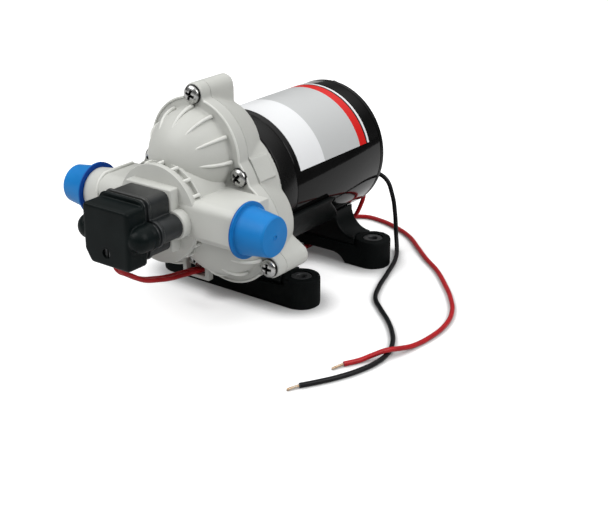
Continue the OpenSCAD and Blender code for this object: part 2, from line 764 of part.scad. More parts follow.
// The switch's outline grown by d: a box with a round lug on each side
module sw_outline(d) {
    union() {
        sw_box(d);
        for (s = [-1, 1]) translate([s * lug_x, lug_z]) circle(lug_r + d);
        translate([-lug_x, lug_z - lug_r + 1.6]) square([2 * lug_x, 2 * lug_r - 3.2]);
    }
}

module switch_diaphragm() { color("#222426") rod(y_pad + 1, y_pad, well_r - seat, 0, -adj_drop); }

module switch_body() {
    color("#1b2222") difference() {
        union() {
            slab(y_pad, y_body) sw_outline(0);
            slab(y_body, y_seam) sw_outline(-1);
        }
        slab(y_pad - 2, y_seam - 1) sw_box(-2.4);
        rod(y_pad - 2, y_body, spring_r + 0.9, 0, -adj_drop);
        rod(y_pad + 1, y_pad - 3, plunger_r + 0.1, 0, -adj_drop);
        slab(y_pad + 1, y_seam - 1) for (s = [-1, 1]) translate([s * lug_x, lug_z]) circle(1.7);
    }
}

// The cover's outline grown by d: a little wider than the body and lower
module cover_box(d) {
    translate([-sw_w - cover_over - d, -sw_down - cover_drop - d])
        square([2 * (sw_w + cover_over + d), sw_up + sw_down + 2 * d]);
}

// What is cut off the lower left corner of the cover
module cover_corner(d) {
    translate([-sw_w - cover_over, -sw_down - cover_drop])
        rotate([0, 0, 45]) square(d * sqrt(2), center = true);
}

module switch_cover() {
    color("#1b2222") difference() {
        union() {
            slab(y_seam, y_cover) cover_box(0);
            slab(y_seam, y_seam - 1.9) sw_outline(0);
            slab(y_seam, y_seam - 7) for (s = [-1, 1]) translate([s * lug_x, lug_z]) circle(lug_r);
            for (s = [-1, 1]) ahead(y_seam - 6.6) translate([s * lug_x, lug_z, 0]) difference() {
                sphere(r = lug_r - 0.4);
                translate([-10, -10, -10]) cube([20, 20, 9.6]);
            }
        }
        slab(y_seam + 1, y_cover + 2) difference() {
            cover_box(-2.4);
            translate([0, -adj_drop]) circle(3.6);
            cover_corner(corner_cut + 3);
        }
        rod(y_seam + 1, y_cover - 1, 2.4, 0, -adj_drop);
        slab(y_seam + 1, y_seam - 5) for (s = [-1, 1]) translate([s * lug_x, lug_z]) circle(1.2);
        for (s = [-1, 1]) translate([s * 1.4, entry_y, entry_z - 3])
            cylinder(r = lead_d / 2 + 0.05, h = 3.1);
        slab(y_seam + 1, y_cover - 1) cover_corner(corner_cut);
    }
}

module switch_screws() {
    color("#8d9195") for (s = [-1, 1]) {
        rod(y_pad + 4.4, y_seam - 4.8, 1.2, s * lug_x, lug_z);
    }
}

module microswitch() {
    color("#2a3336") difference() {
        translate([-9.5, y_body + 1, axis_h + 1]) cube([19, 6.5, 10]);
        rod(y_body + 8, y_body + 4, 1.3, 0, 3);
    }
    color("#2a3336") for (s = [-1, 1]) translate([s > 0 ? 7.5 : -9.5, y_body + 7.5, axis_h + 4])
        cube([2, y_pad - 2 - y_body - 7.5, 4]);
}

module switch_terminals() {
    color("#c9a24a") for (s = [-1, 1])
        translate([s * 5 - 1.5, y_body - 4, axis_h + 4]) cube([3, 5, 0.8]);
}

module switch_plunger() {
    color("#e4e2da") {
        rod(y_pad, y_pad - 3, plunger_r, 0, -adj_drop);
        rod(y_pad - 3, y_pad - 4.2, spring_r + 0.6, 0, -adj_drop);
        rod(y_pad - 4.2, y_pad - 5.5, 1.4, 0, -adj_drop);
        translate([-1.5, y_pad - 4.2, adj_z]) cube([3, 1.2, adj_drop + 4.5]);
    }
}

module switch_button() { color("#d86a3a") rod(y_pad - 4.2, y_body + 5.6, 1.2, 0, 3); }

module switch_spring() {
    color("#b9bcbe") {
        for (k = [0 : 4]) ahead(spring_y0 - 0.5 - k * 1.6) translate([0, -adj_drop, 0])
            rotate_extrude() translate([spring_r, 0]) circle(0.5);
        slab(spring_y0 - 0.3, spring_y1) translate([0, -adj_drop]) difference() {
            circle(spring_r + 0.15);
            circle(spring_r - 0.25);
        }
    }
}

module adjuster_screw() {
    color("#8d9195") difference() {
        union() {
            rod(spring_y1 - 0.1, y_cover + 1.2, 2.35, 0, -adj_drop);
        }
        translate([-0.5, y_cover - 1, adj_z - 3]) cube([1, 3.6, 6]);
    }
}

// Transit caps: thin tapered cups over the port threads, flange towards the pump
module transit_cap() {
    translate([collar_x, port_y, axis_h]) rotate([0, 90, 0]) difference() {
        union() {
            cylinder(r = cap_flange_r, h = 1.2);
            cylinder(r1 = cap_root_r, r2 = cap_end_r, h = cap_len);
        }
        translate([0, 0, -0.01]) cylinder(r1 = cap_root_r - 0.75, r2 = cap_end_r - 0.75, h = cap_len - 1.2);
    }
}

module outlet_cap() { color("#2f7fc4") transit_cap(); }

module inlet_cap() { color("#2f7fc4") mirror([1, 0, 0]) transit_cap(); }

// Leads

module lead_grommets() {
    color("#222426") for (p = [exit_a, exit_b]) difference() {
        union() {
            rod(y_rear, y_back, 2.55, p[0], p[1]);
            rod(y_rear + 1.2, y_rear, 3.6, p[0], p[1]);
        }
        rod(y_rear + 2, y_back - 1, lead_d / 2 + lead_fit, p[0], p[1]);
    }
}

module motor_lead() { color("#b0151c") cord(smooth(motor_path, 1), lead_d / 2, [1, 0, 0]); }

module supply_run() { color("#b0151c") cord(smooth(supply_path, 1), lead_d / 2, [1, 0, 0]); }

module black_lead() { color("#141618") cord(smooth(black_path, 2), lead_d / 2, [1, 0, 0]); }

module black_lead_end() { color("#c9a06a") cord(smooth(black_tip, 2), strand_d / 2, [1, 0, 0]); }

module red_lead() { color("#b0151c") cord(smooth(red_path, 2), lead_d / 2, [0, 0, 1]); }

module red_lead_end() { color("#c9a06a") cord(smooth(red_tip, 2), strand_d / 2, [0, 0, 1]); }

front_rail();
rear_rail();
foot_eyelets();
saddle();
saddle_screws();
motor_can();
front_bell();
rear_cap();
motor_bolts();
magnets();
front_bearing();
rear_bearing();
brush_card();
brushes();
brush_springs();
rating_label();
drive_housing();
drive_screws();
diaphragm();
valve_plate();
inlet_valves();
outlet_valve();
plate_gasket();
front_head();
head_screws();
switch_diaphragm();
switch_body();
switch_cover();
switch_screws();
microswitch();
switch_terminals();
switch_plunger();
switch_button();
switch_spring();
adjuster_screw();
motor_shaft();
armature_core();
armature_windings();
commutator();
cam_bush();
cam_race_inner();
cam_race_outer();
wobble_plate();
piston_backs();
piston_pads();
piston_faces();
piston_screws();
inlet_cap();
outlet_cap();
lead_grommets();
motor_lead();
supply_run();
black_lead();
black_lead_end();
red_lead();
red_lead_end();
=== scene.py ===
import json
import math
import bpy
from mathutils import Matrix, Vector


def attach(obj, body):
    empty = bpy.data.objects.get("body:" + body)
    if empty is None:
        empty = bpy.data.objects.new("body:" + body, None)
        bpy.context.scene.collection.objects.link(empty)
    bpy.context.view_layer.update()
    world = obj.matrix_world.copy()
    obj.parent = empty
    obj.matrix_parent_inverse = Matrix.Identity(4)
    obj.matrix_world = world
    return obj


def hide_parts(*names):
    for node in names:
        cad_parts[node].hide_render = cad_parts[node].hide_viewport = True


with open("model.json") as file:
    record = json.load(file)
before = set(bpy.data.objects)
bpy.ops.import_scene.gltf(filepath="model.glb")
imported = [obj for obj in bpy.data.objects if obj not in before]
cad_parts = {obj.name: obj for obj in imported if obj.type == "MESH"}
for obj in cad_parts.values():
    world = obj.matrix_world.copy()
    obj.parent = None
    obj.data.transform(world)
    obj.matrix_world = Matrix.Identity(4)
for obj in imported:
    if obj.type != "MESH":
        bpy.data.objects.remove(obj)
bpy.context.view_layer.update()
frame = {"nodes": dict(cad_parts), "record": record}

# Camera. It stands to the right of the switch, a little above the pump, where the photo was taken,
# with a short portrait lens, so that the near port swells and the motor falls away.
mm = 0.001
camera_place = Vector((378.2, -487.1, 259.6)) * mm
camera_back = Vector((0.5494, -0.7417, 0.3848))
scene = bpy.context.scene
scene.view_settings.view_transform = "Standard"
bpy.ops.object.select_all(action="DESELECT")
bpy.ops.object.camera_add(location=camera_place)
camera = bpy.context.object
camera.name = "studio_camera"
camera.rotation_euler = camera_back.to_track_quat("Z", "Y").to_euler()
camera.data.sensor_width = 36.0
camera.data.lens = 73.67
camera.data.clip_start = 10 * mm
scene.camera = camera


# Studio floor. A wide sheet of pale paper under the pump. The camera sees it lifted to white, and less so
# close to the pump, where the contact shadow lies; the glossy can mirrors the sheet's edge on the right.
def map_range(tree, source, from_span, to_span):
    """Maps one socket from a span of values to another span and returns the new socket."""
    node = tree.nodes.new("ShaderNodeMapRange")
    node.inputs["From Min"].default_value = from_span[0]
    node.inputs["From Max"].default_value = from_span[1]
    node.inputs["To Min"].default_value = to_span[0]
    node.inputs["To Max"].default_value = to_span[1]
    tree.links.new(source, node.inputs["Value"])
    return node.outputs["Result"]


def reckon(tree, operation, *terms):
    """Works on sockets and plain numbers with one Math node and returns the new socket."""
    node = tree.nodes.new("ShaderNodeMath")
    node.operation = operation
    for socket, term in zip(node.inputs, terms):
        if isinstance(term, float):
            socket.default_value = term
        else:
            tree.links.new(term, socket)
    return node.outputs[0]


def along(tree, axis, kind="Object"):
    """One coordinate, X, Y or Z, as a socket."""
    place = tree.nodes.new("ShaderNodeTexCoord")
    split = tree.nodes.new("ShaderNodeSeparateXYZ")
    tree.links.new(place.outputs[kind], split.inputs[0])
    return split.outputs[axis]


paper_tone = 0.62
dark_room = 0.04
sheet_edge = (262 * mm, 272 * mm)
contact_reach = 16 * mm
contact_shade = (0.72, 0.98)
contact_lift = 0.06
bpy.ops.mesh.primitive_plane_add(size=12.0, location=(0, 0, 0))
floor = bpy.context.object
floor.name = "studio_floor"
paper = bpy.data.materials.new("white_paper")
paper.use_nodes = True
tree = paper.node_tree
shader = tree.nodes["Principled BSDF"]
shader.inputs["Roughness"].default_value = 0.9
shader.inputs["Specular IOR Level"].default_value = 0.1
seen = tree.nodes.new("ShaderNodeLightPath").outputs["Is Camera Ray"]
sheet = map_range(tree, along(tree, "X"), sheet_edge, (paper_tone, dark_room))
seen_tone = reckon(tree, "MULTIPLY", seen, paper_tone)
tree.links.new(reckon(tree, "MAXIMUM", sheet, seen_tone), shader.inputs["Base Color"])
near = tree.nodes.new("ShaderNodeAmbientOcclusion")
near.inputs["Distance"].default_value = contact_reach
lift = map_range(tree, near.outputs["AO"], contact_shade, (contact_lift, paper_tone))
glow = tree.nodes.new("ShaderNodeEmission")
tree.links.new(reckon(tree, "MULTIPLY", seen, lift), glow.inputs["Strength"])
both = tree.nodes.new("ShaderNodeAddShader")
tree.links.new(shader.outputs[0], both.inputs[0])
tree.links.new(glow.outputs[0], both.inputs[1])
tree.links.new(both.outputs[0], tree.nodes["Material Output"].inputs["Surface"])
floor.data.materials.append(paper)

# Studio light. A soft white ceiling that fades towards the horizon, a large lamp high on the left and a
# weaker one on the right.
ceiling_heights = (0.26, 0.95)
ceiling_light = (0.08, 1.2)
world = bpy.data.worlds.new("studio_world")
scene.world = world
world.use_nodes = True
tree = world.node_tree
sky = tree.nodes["Background"]
sky.inputs["Color"].default_value = (1, 1, 1, 1)
ceiling = map_range(tree, along(tree, "Z", "Generated"), ceiling_heights, ceiling_light)
ceiling.node.interpolation_type = "SMOOTHSTEP"
tree.links.new(ceiling, sky.inputs["Strength"])
for lamp_name, place, size, power in (
    ("soft_lamp_left", (-0.55, -0.85, 1.05), 0.9, 10.0),
    ("soft_lamp_right", (0.95, 0.05, 0.75), 0.7, 6.0),
):
    bpy.ops.object.light_add(type="AREA", location=place)
    lamp = bpy.context.object
    lamp.name = lamp_name
    lamp.data.size = size
    lamp.data.energy = power
    lamp.rotation_euler = Vector(place).to_track_quat("Z", "Y").to_euler()


# Free supply leads. Two stranded copper wires in soft plastic, one black and one red, stripped and
# tinned at the end. They leave the motor and the switch circuit and lie loose on the floor.
def grain(group_name, mottle, fine, depth):
    """A node group for one finish: mottle and polish vary slowly, and the normal carries the fine grain."""
    group = bpy.data.node_groups.new(group_name, "ShaderNodeTree")
    for socket in ("Mottle", "Polish"):
        group.interface.new_socket(socket, in_out="OUTPUT", socket_type="NodeSocketFloat")
    group.interface.new_socket("Normal", in_out="OUTPUT", socket_type="NodeSocketVector")
    place = group.nodes.new("ShaderNodeTexCoord")
    exit_node = group.nodes.new("NodeGroupOutput")
    for socket, size, detail in (("Mottle", mottle, 4.0), ("Polish", mottle * 2.7, 3.0)):
        noise = group.nodes.new("ShaderNodeTexNoise")
        noise.inputs["Scale"].default_value = size
        noise.inputs["Detail"].default_value = detail
        group.links.new(place.outputs["Object"], noise.inputs["Vector"])
        group.links.new(noise.outputs["Fac"], exit_node.inputs[socket])
    noise = group.nodes.new("ShaderNodeTexNoise")
    noise.inputs["Scale"].default_value = fine
    noise.inputs["Detail"].default_value = 2.0
    group.links.new(place.outputs["Object"], noise.inputs["Vector"])
    bump = group.nodes.new("ShaderNodeBump")
    bump.inputs["Strength"].default_value = 0.6
    bump.inputs["Distance"].default_value = depth
    group.links.new(noise.outputs["Fac"], bump.inputs["Height"])
    group.links.new(bump.outputs["Normal"], exit_node.inputs["Normal"])
    return group


def surface(name, group, dark, light, rough, metal=0.0, specular=0.5):
    """A material whose colour wanders between two close shades and whose roughness wanders as well."""
    made = bpy.data.materials.new(name)
    made.use_nodes = True
    nodes, links = made.node_tree.nodes, made.node_tree.links
    shader = nodes["Principled BSDF"]
    shader.inputs["Metallic"].default_value = metal
    shader.inputs["Specular IOR Level"].default_value = specular
    wander = nodes.new("ShaderNodeGroup")
    wander.node_tree = group
    shades = nodes.new("ShaderNodeValToRGB")
    for element, position, shade in zip(shades.color_ramp.elements, (0.35, 0.65), (dark, light)):
        element.position = position
        element.color = (*shade, 1)
    links.new(wander.outputs["Mottle"], shades.inputs["Fac"])
    links.new(shades.outputs["Color"], shader.inputs["Base Color"])
    polish = map_range(made.node_tree, wander.outputs["Polish"], (0.3, 0.7), rough)
    links.new(polish, shader.inputs["Roughness"])
    links.new(wander.outputs["Normal"], shader.inputs["Normal"])
    return made


def dress(piece, body, slot, material, *nodes):
    """Gives a finished piece its material and its body, and hides the CAD nodes that it stands for."""
    piece.data.materials.clear()
    piece.data.materials.append(material)
    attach(piece, body)
    if nodes:
        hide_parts(*nodes)


def smooth_route(points, steps):
    """Points in millimetres, joined by one smooth curve, in metres."""
    last = len(points) - 1
    route = []
    for i in range(last):
        a, b, c, d = (Vector(points[min(max(k, 0), last)]) for k in (i - 1, i, i + 1, i + 2))
        for k in range(steps):
            t = k / steps
            route.append(0.5 * (2 * b + (c - a) * t + (2 * a - 5 * b + 4 * c - d) * t ** 2
                                + (3 * b - a - 3 * c + d) * t ** 3) * mm)
    route.append(Vector(points[last]) * mm)
    return route


def round_curve(name, radius):
    """An empty curve object with a round section."""
    curve = bpy.data.curves.new(name, "CURVE")
    curve.dimensions = "3D"
    curve.bevel_depth = radius
    curve.bevel_resolution = 4
    curve.use_fill_caps = True
    made = bpy.data.objects.new(name, curve)
    scene.collection.objects.link(made)
    return made


def lead_curve(name, points, radius):
    """A lead on one smooth curve through points in millimetres."""
    made = round_curve(name, radius)
    made.data.resolution_u = 8
    spline = made.data.splines.new("BEZIER")
    spline.bezier_points.add(len(points) - 1)
    for point, place in zip(spline.bezier_points, points):
        point.co = Vector(place) * mm
        point.handle_left_type = "AUTO"
        point.handle_right_type = "AUTO"
    return made


def wire(name, routes, radius):
    """A round wire along each route of close points in metres."""
    made = round_curve(name, radius)
    for route in routes:
        spline = made.data.splines.new("POLY")
        spline.points.add(len(route) - 1)
        for point, place in zip(spline.points, route):
            point.co = (*place, 1)
    return made


def as_mesh(piece):
    """Turns a finished wire into a smooth mesh."""
    bpy.ops.object.select_all(action="DESELECT")
    piece.select_set(True)
    bpy.context.view_layer.objects.active = piece
    bpy.ops.object.convert(target="MESH")
    bpy.ops.object.shade_smooth()
    return bpy.context.object


def bare_end(name, points, turns):
    """Seven thin strands twisted together past the end of the insulation."""
    spine = smooth_route(points, 12)
    strands = [spine]
    for strand in range(6):
        twisted = []
        for k, place in enumerate(spine):
            ahead = (spine[min(k + 1, len(spine) - 1)] - spine[max(k - 1, 0)]).normalized()
            side = ahead.cross(Vector((0, 0, 1))).normalized()
            angle = math.radians(60 * strand) + 2 * math.pi * turns * k / (len(spine) - 1)
            out = side * math.cos(angle) + ahead.cross(side) * math.sin(angle)
            twisted.append(place + out * 2 * strand_r)
        strands.append(twisted)
    return as_mesh(wire(name, strands, strand_r))


lead_r = 1.2 * mm
strand_r = 0.21 * mm
lead_grain = grain("lead_skin", mottle=180.0, fine=2600.0, depth=0.02 * mm)
red_skin = surface("red_lead_skin", lead_grain, dark=(0.33, 0.004, 0.008), light=(0.43, 0.006, 0.010),
                   rough=(0.30, 0.42), specular=0.3)
black_skin = surface("black_lead_skin", lead_grain, dark=(0.003, 0.003, 0.004), light=(0.007, 0.007, 0.008),
                     rough=(0.32, 0.45), specular=0.18)
strand_grain = grain("strand_metal", mottle=900.0, fine=5000.0, depth=0.01 * mm)
strand_metal = surface("tinned_strands", strand_grain, dark=(0.62, 0.40, 0.22), light=(0.75, 0.66, 0.55),
                       rough=(0.25, 0.4), metal=1.0)
black_points = [(24, 45.9, 43), (24, 51.2, 43), (26, 54.2, 42.4), (31, 56.6, 39.3), (35, 57.2, 31),
                (37, 57.6, 20), (38.5, 56.8, 9), (41.5, 53.2, 2.8), (48, 42, 1.5), (55.5, 22, 1.2),
                (61.5, 5, 1.2), (68, -8, 1.2), (77, -17, 1.2), (87, -26, 1.2), (96, -36, 1.2),
                (102, -45, 1.2), (106, -55, 1.2), (107, -65, 1.2), (105, -77, 1.2), (101, -88, 1.2),
                (96, -97.5, 1.2), (92, -104, 1.2)]
red_points = [(-1.4, 43, 1.4), (-4, 52, 1.2), (-9, 64, 1.2), (-9, 77, 1.2), (-2, 85.5, 1.2), (9, 86, 1.2),
              (22, 82, 1.2), (36, 74.5, 1.2), (49, 63, 1.2), (61, 52, 1.2), (74, 41.5, 1.2), (87, 28, 1.2),
              (98, 15, 1.2), (107, 1, 1.2), (112, -14, 1.2), (113, -28, 1.2), (111.5, -42, 1.4),
              (109.5, -50, 2.6), (106.5, -57.5, 3.7), (103, -63.5, 2.6), (100, -68.5, 1.4), (96, -76, 1.2)]
black_tip = [(91.8, -104.4, 1.2), (90.5, -107, 1.0), (89.4, -109.5, 0.7)]
red_tip = [(95.8, -76.4, 1.2), (94.8, -79, 1.0), (93.8, -82, 0.7)]
for lead_name, points, tip, skin, slot, lead_node in (
    ("black_supply_lead", black_points, black_tip, black_skin, "lead_black", "black_lead"),
    ("red_supply_lead", red_points, red_tip, red_skin, "lead_red", "red_lead"),
):
    route = smooth_route(points, 8)
    lead = lead_curve(lead_name, points, lead_r)
    dress(lead, "pump", slot, skin, lead_node)
    end = bare_end(lead_name + "_bare_end", tip, turns=1.2)
    dress(end, "pump", "copper", strand_metal, lead_node + "_end")

# Held leads. The red wire from the motor and the red supply wire run side by side under the saddle,
# through the loop below the drum, and sag in one shallow curve before they turn up into the switch.
held_places = [(20, 3.4), (0, 8.5), (-20, 12.6), (-44, 13.6), (-57, 17.4), (-65, 19.1), (-75.5, 20.6),
               (-85.5, 22.1), (-93.6, 24.1), (-104, 27.6), (-112, 32.6), (-117.4, 36.4), (-119, 39.4),
               (-119, 43)]
held_x = 1.4
motor_points = [(11, 45.9, 36), (11, 51.2, 36), (13.5, 54.2, 35), (17, 55.6, 30), (16, 54.6, 21),
                (10, 49.6, 9), (4, 43, 3), (held_x, 33, 2.6)] + [(held_x, y, z) for y, z in held_places]
supply_points = [(-held_x, 43, 1.4), (-held_x, 33, 1.8)] + [(-held_x, y, z) for y, z in held_places]
for lead_name, points, lead_node in (
    ("red_motor_lead", motor_points, "motor_lead"),
    ("red_switch_lead", supply_points, "supply_run"),
):
    dress(lead_curve(lead_name, points, lead_r), "pump", "lead_red", red_skin, lead_node)


# Foot rails. Two soft black rubber mouldings, each a bar with a round foot at both ends. The front bar
# sits on the floor, the rear one is arched between its feet, and each foot has a recess for its eyelet.
def rod(radius, start, end, sides=96):
    """A round bar between two points in millimetres."""
    a, b = Vector(start) * mm, Vector(end) * mm
    bpy.ops.object.select_all(action="DESELECT")
    bpy.ops.mesh.primitive_cylinder_add(vertices=sides, radius=radius * mm, depth=(b - a).length,
                                        location=(a + b) / 2)
    made = bpy.context.object
    made.rotation_euler = (b - a).to_track_quat("Z", "Y").to_euler()
    bpy.ops.object.transform_apply(location=True, rotation=True, scale=True)
    return made


def block(low, high):
    """A square block between two corners in millimetres."""
    a, b = Vector(low) * mm, Vector(high) * mm
    bpy.ops.object.select_all(action="DESELECT")
    bpy.ops.mesh.primitive_cube_add(size=1.0, location=(a + b) / 2, scale=b - a)
    bpy.ops.object.transform_apply(location=True, rotation=True, scale=True)
    return bpy.context.object


def apply_modifier(piece, kind, **settings):
    """Adds one modifier to a piece and applies it."""
    bpy.ops.object.select_all(action="DESELECT")
    piece.select_set(True)
    bpy.context.view_layer.objects.active = piece
    modifier = piece.modifiers.new(kind.lower(), kind)
    for key, value in settings.items():
        setattr(modifier, key, value)
    bpy.ops.object.modifier_apply(modifier=modifier.name)


def join(name, parts):
    """Joins pieces into one object."""
    bpy.ops.object.select_all(action="DESELECT")
    for part in parts:
        part.select_set(True)
    bpy.context.view_layer.objects.active = parts[0]
    if len(parts) > 1:
        bpy.ops.object.join()
    made = bpy.context.object
    made.name = name
    made.data.name = name
    return made


def cut(piece, *tools):
    """Takes the tools' shapes out of a piece and deletes the tools."""
    for tool in tools:
        apply_modifier(piece, "BOOLEAN", operation="DIFFERENCE", solver="EXACT", object=tool)
        bpy.data.objects.remove(tool, do_unlink=True)


def moulded(name, parts, grid, passes):
    """Parts grown together into one moulding, with its edges and inside corners rounded."""
    made = join(name, parts)
    apply_modifier(made, "REMESH", mode="VOXEL", voxel_size=grid * mm, use_smooth_shade=True)
    apply_modifier(made, "SMOOTH", factor=0.5, iterations=passes)
    return made


def shade_by_angle(angle):
    """Shades the selected piece smooth, but for edges sharper than an angle in degrees."""
    bpy.ops.object.shade_smooth_by_angle(angle=math.radians(angle))


foot_x, foot_y = 39.5, 32.0
foot_r, foot_h = 9.5, 15
rail_h = 11
arch_x, arch_top, arch_round = 28.5, 4.9, 9
eyelet_seat, recess_r, hole_r = 13.4, 5.5, 3.6
rubber_grain = grain("foot_rubber_grain", mottle=70.0, fine=900.0, depth=0.06 * mm)
foot_rubber = surface("black_foot_rubber", rubber_grain,
                      dark=(0.002, 0.003, 0.003), light=(0.004, 0.005, 0.005),
                      rough=(0.62, 0.76), specular=0.08)
for rail_name, rail_node, y in (
    ("front_foot_rail", "front_rail", -foot_y),
    ("rear_foot_rail", "rear_rail", foot_y),
):
    bar = block((-foot_x, y - foot_r, 0), (foot_x, y + foot_r, rail_h))
    if rail_node == "rear_rail":
        arch = block((-arch_x, y - 20, -18), (arch_x, y + 20, arch_top))
        apply_modifier(arch, "BEVEL", width=arch_round * mm, segments=12, limit_method="ANGLE")
        cut(bar, arch)
    feet = [rod(foot_r, (x, y, 0), (x, y, foot_h)) for x in (-foot_x, foot_x)]
    rail = moulded(rail_name, [bar] + feet, grid=0.6, passes=8)
    for x in (-foot_x, foot_x):
        cut(rail, rod(recess_r, (x, y, eyelet_seat), (x, y, foot_h + 5)),
            rod(hole_r, (x, y, -2), (x, y, eyelet_seat + 0.6)))
    shade_by_angle(40)
    dress(rail, "pump", "foot_rubber", foot_rubber, rail_node)


# Foot eyelets. Turned steel bushes with a flat collar that carry the fixing screws, one in each foot.
# One is turned from its profile and copied to the other feet.
def turned(name, profile, centre, axis, steps=128):
    """A profile of (radius, distance along the axis) pairs in millimetres, spun round the axis."""
    centre, axis = Vector(centre) * mm, Vector(axis)
    side = axis.orthogonal().normalized()
    places = [centre + (side * r + axis * a) * mm for r, a in profile]
    bpy.ops.object.select_all(action="DESELECT")
    bpy.ops.mesh.primitive_plane_add(size=mm, location=(0, 0, 0))
    made = bpy.context.object
    made.name = name
    made.data.name = name
    bpy.ops.object.mode_set(mode="EDIT")
    bpy.ops.mesh.select_all(action="SELECT")
    bpy.ops.mesh.merge(type="CENTER")
    bpy.ops.transform.translate(value=places[0])
    for a, b in zip(places, places[1:]):
        bpy.ops.mesh.extrude_vertices_move(TRANSFORM_OT_translate={"value": b - a})
    bpy.ops.mesh.select_all(action="SELECT")
    bpy.ops.mesh.spin(steps=steps, angle=2 * math.pi, center=centre, axis=axis)
    bpy.ops.mesh.select_all(action="SELECT")
    bpy.ops.mesh.remove_doubles(threshold=1e-6)
    bpy.ops.mesh.normals_make_consistent(inside=False)
    bpy.ops.object.mode_set(mode="OBJECT")
    return made


def soft_edges(piece, width, segments=3, angle=30.0):
    """Breaks the sharp edges of a piece and shades it by angle."""
    apply_modifier(piece, "BEVEL", width=width * mm, segments=segments, limit_method="ANGLE",
                   angle_limit=math.radians(angle), harden_normals=False)
    shade_by_angle(40)


def placed(piece, turn, spot):
    """Turns the piece just made, in degrees about the three axes, and moves it, in millimetres."""
    piece.rotation_euler = [math.radians(angle) for angle in turn]
    piece.location = Vector(spot) * mm
    bpy.ops.object.transform_apply(location=True, rotation=True, scale=True)
    return piece


def copied(name, piece, spot, turn=(0, 0, 0)):
    """A copy of a piece with its own mesh, turned and moved."""
    bpy.ops.object.select_all(action="DESELECT")
    piece.select_set(True)
    bpy.context.view_layer.objects.active = piece
    bpy.ops.object.duplicate(linked=False)
    made = bpy.context.object
    made.name = name
    made.data.name = name
    return placed(made, turn, spot)


steel_grain = grain("plated_steel_grain", mottle=260.0, fine=1800.0, depth=0.01 * mm)
# This steel is painted dark, as shade in the foot recesses; the adjuster screw in its hole gets the same
# painted shade.
recess_shade_steel = surface("steel_with_painted_recess_shade", steel_grain,
                       dark=(0.06, 0.062, 0.064), light=(0.10, 0.102, 0.104),
                       rough=(0.40, 0.55), metal=0.8)
eyelet_hole, eyelet_r, eyelet_rim = 2.4, 3.55, 5.2
eyelet_top = 14.6
eyelet_profile = [(eyelet_hole, 0), (eyelet_r, 0), (eyelet_r, eyelet_seat), (eyelet_rim, eyelet_seat),
                  (eyelet_rim, eyelet_top), (eyelet_hole, eyelet_top), (eyelet_hole, 0)]
eyelet = turned("foot_eyelet", eyelet_profile, (-foot_x, -foot_y, 0), (0, 0, 1), 64)
soft_edges(eyelet, width=0.25)
eyelets = [eyelet]
for spot in ((0, 2 * foot_y, 0), (2 * foot_x, 0, 0), (2 * foot_x, 2 * foot_y, 0)):
    eyelets.append(copied("foot_eyelet", eyelet, spot))
dress(join("foot_eyelet_set", eyelets), "pump", "steel", recess_shade_steel, "foot_eyelets")

# Saddle. A black plastic cradle under the motor with a web at each end that flares out to the feet; the
# front web has a low tunnel for the leads. Moulded in one piece and screwed to the rails from below.
axis_z = 56.5
motor_r = 35.0
saddle_in, saddle_out = motor_r + 0.05, motor_r + 3.05
cradle_y, cradle_top, slope_turn = 40, axis_z - 10.4, -38
web_x, web_y, web_top = 32.5, 8, 29.5
flare_r, flare_z = 12, 27
tunnel_x, tunnel_top = 4.5, 15
cradle = rod(saddle_out, (0, cradle_y, axis_z), (0, -cradle_y, axis_z), 160)
cut(cradle, rod(saddle_in, (0, 50, axis_z), (0, -50, axis_z), 160),
    block((-60, -60, cradle_top), (60, 60, 120)))
slope = placed(block((-60, 0, 0), (60, 80, 60)), (slope_turn, 0, 0), (0, -1, axis_z - 13))
cut(cradle, slope)
saddle_parts = [cradle]
for y in (-foot_y, foot_y):
    web = block((-web_x, y - web_y, rail_h), (web_x, y + web_y, web_top))
    for x in (web_x, -web_x):
        cut(web, rod(flare_r, (x, y - 9, flare_z), (x, y + 9, flare_z)))
    cut(web, block((web_x - flare_r, y - 9, flare_z), (50, y + 9, 40)),
        block((-50, y - 9, flare_z), (flare_r - web_x, y + 9, 40)),
        rod(saddle_in, (0, y - 20, axis_z), (0, y + 20, axis_z), 160))
    for x in (foot_x, -foot_x):
        cut(web, rod(foot_r + 0.1, (x, y, 0), (x, y, 20)))
    if y < 0:
        cut(web, block((-tunnel_x, y - 10, 10), (tunnel_x, y + 10, tunnel_top)))
    saddle_parts.append(web)
saddle = moulded("motor_saddle", saddle_parts, grid=0.55, passes=4)
saddle_grain = grain("saddle_grain", mottle=60.0, fine=1500.0, depth=0.04 * mm)
saddle_black = surface("black_saddle_plastic", saddle_grain,
                       dark=(0.002, 0.003, 0.003), light=(0.005, 0.006, 0.006),
                       rough=(0.34, 0.46), specular=0.10)
dress(saddle, "pump", "saddle_black", saddle_black, "saddle")

# Motor can, front bell and rear cap. A drawn steel tube between two end bells, all in black paint, held
# together by two long bolts. The two lead holes pass through the rear cap.
can_paint_grain = grain("can_paint_grain", mottle=35.0, fine=1100.0, depth=0.02 * mm)
can_paint = surface("gloss_black_paint", can_paint_grain,
                    dark=(0.003, 0.003, 0.003), light=(0.006, 0.006, 0.006),
                    rough=(0.05, 0.08), specular=0.22)
bell_paint = surface("satin_black_paint", can_paint_grain,
                     dark=(0.003, 0.003, 0.003), light=(0.006, 0.006, 0.006),
                     rough=(0.20, 0.30), specular=0.22)
can_profile = [(33, -28.45), (motor_r, -28.45), (motor_r, 44.85), (33, 44.85), (33, -28.45)]
bell_profile = [(4.5, -40), (motor_r, -40), (motor_r, -28.55), (32.9, -28.55), (32.9, -25), (30.5, -25),
                (30.5, -36), (12, -36), (12, -31), (8, -31), (8, -37), (4.5, -37), (4.5, -40)]
rear_profile = [(0, 47.2), (8, 47.2), (8, 41.9), (10.5, 41.9), (10.5, 44.95), (29, 44.95), (29, 41.9),
                (32.9, 41.9), (32.9, 44.95), (motor_r, 44.95), (motor_r, 47.4), (33.6, 48.6), (13, 48.6),
                (12, 49.4), (0, 49.4)]
